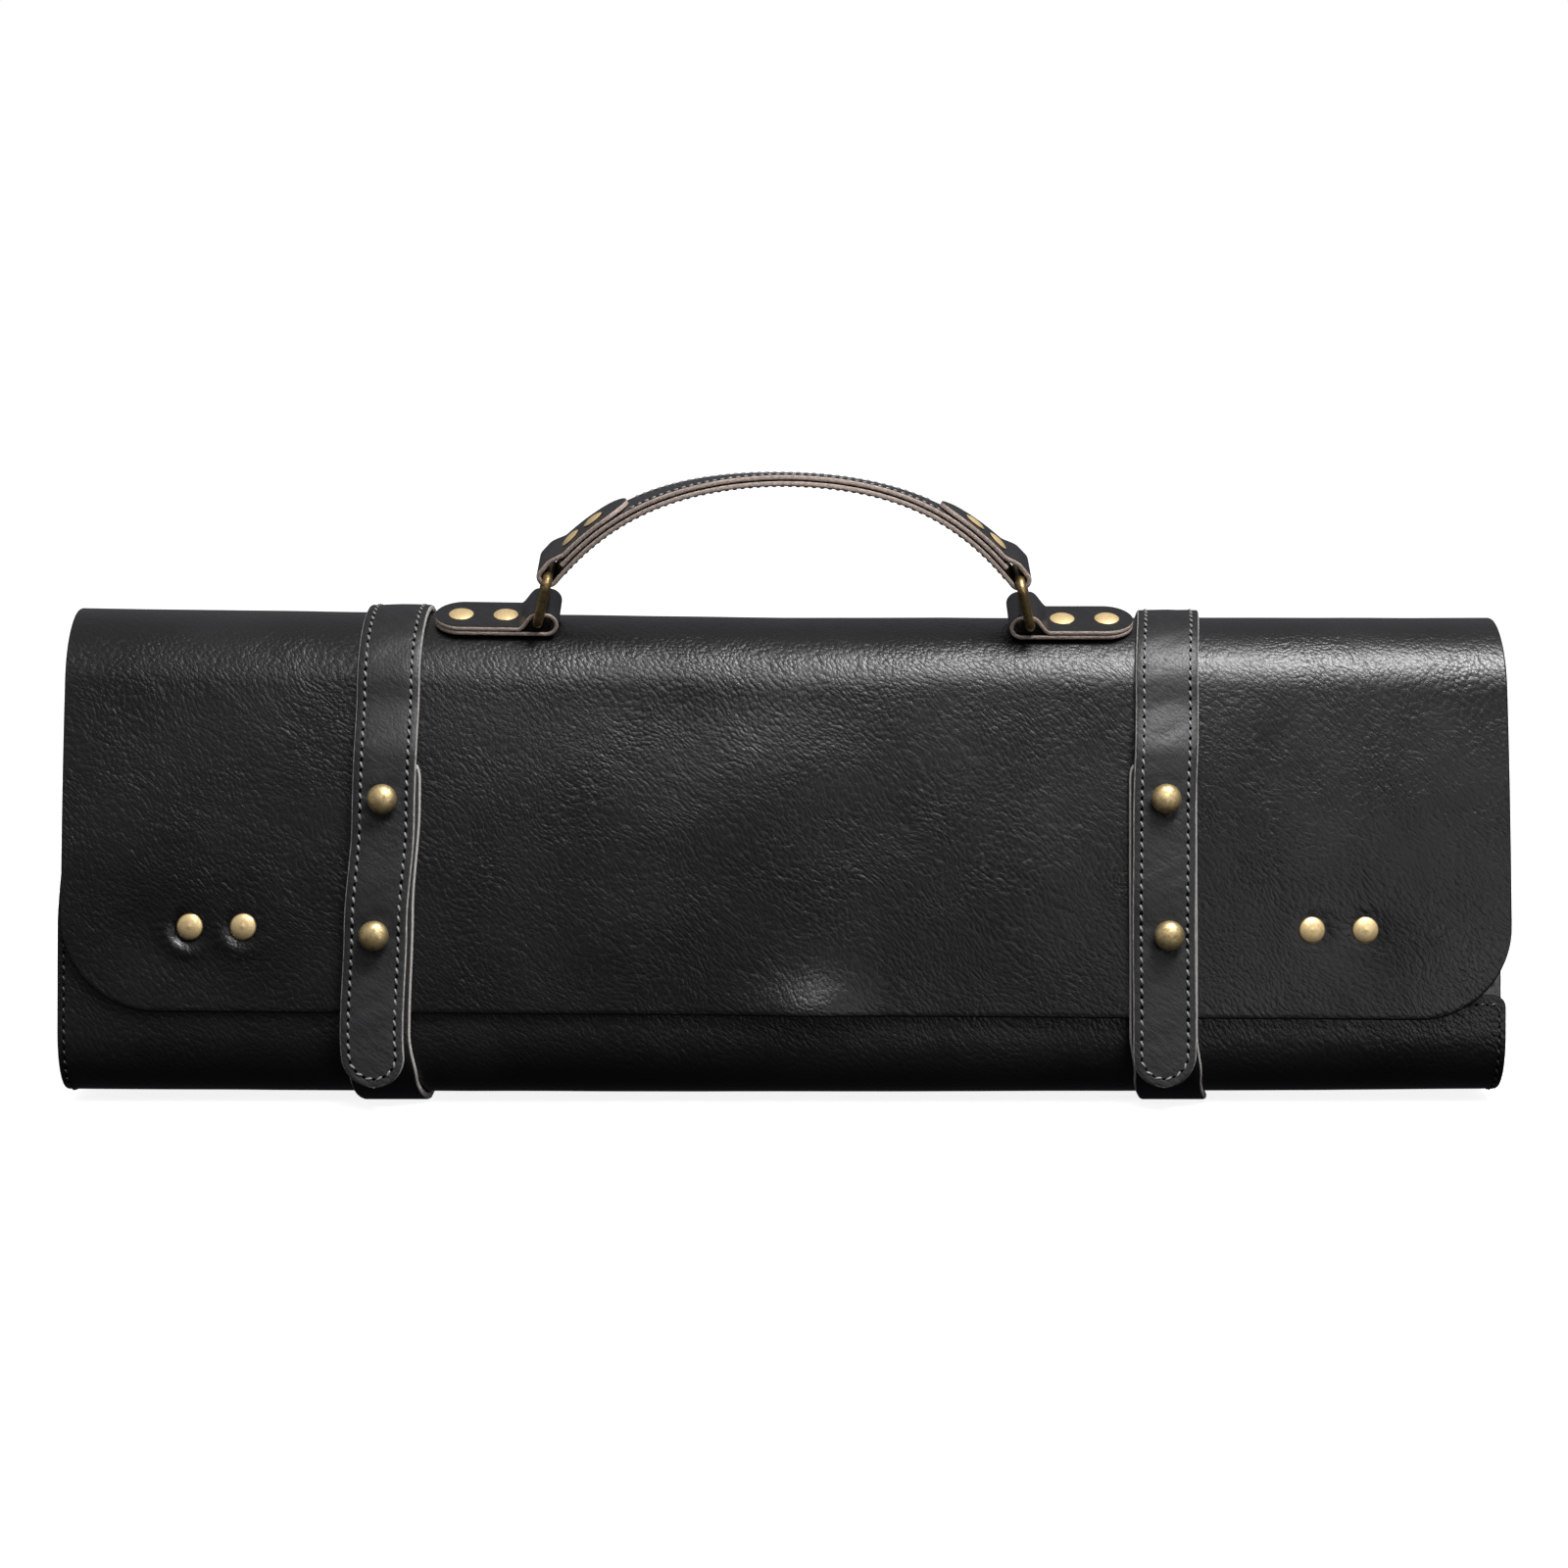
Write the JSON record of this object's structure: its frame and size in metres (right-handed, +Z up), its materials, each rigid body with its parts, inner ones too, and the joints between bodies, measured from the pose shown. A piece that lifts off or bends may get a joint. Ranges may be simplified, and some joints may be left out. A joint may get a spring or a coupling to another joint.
{
  "type": "drumstick bag",
  "caption": "Rolled black leather drumstick bag with a long front flap, buttoned straps with brass studs, and an arched leather handle on brass rings.",
  "frame": {"origin": "under the middle of the bag, on the surface it stands on", "axes": "+X along the bag, to the right as one faces the flap, -Y out of the front, +Z up"},
  "size_m": [0.462, 0.087, 0.2013],
  "materials": {
    "body_leather": "black pebbled leather, semi-gloss",
    "lining_leather": "smooth black leather, glossy",
    "strap_leather": "black leather with raw beige edges, stitched",
    "rivet_brass": "antique brass, worn",
    "ring_brass": "dark antique brass wire"
  },
  "bodies": {
    "root": {"bag_shell": "body_leather", "pocket_panel": "lining_leather", "end_gusset_left": "lining_leather", "end_gusset_right": "lining_leather", "strap_lower_left": "strap_leather", "strap_lower_right": "strap_leather", "strap_upper_left": "strap_leather", "strap_upper_right": "strap_leather", "base_tab_left": "strap_leather", "base_tab_right": "strap_leather", "handle_strap": "strap_leather", "handle_liner": "strap_leather", "ring_left": "ring_brass", "ring_right": "ring_brass", "stud_left_high": "rivet_brass", "stud_left_low": "rivet_brass", "stud_right_high": "rivet_brass", "stud_right_low": "rivet_brass", "flap_rivet_1": "rivet_brass", "flap_rivet_2": "rivet_brass", "flap_rivet_3": "rivet_brass", "flap_rivet_4": "rivet_brass", "tab_rivet_left_1": "rivet_brass", "tab_rivet_left_2": "rivet_brass", "tab_rivet_right_1": "rivet_brass", "tab_rivet_right_2": "rivet_brass", "handle_rivet_1": "rivet_brass", "handle_rivet_2": "rivet_brass", "handle_rivet_3": "rivet_brass", "handle_rivet_4": "rivet_brass"}
  },
  "joints": []
}
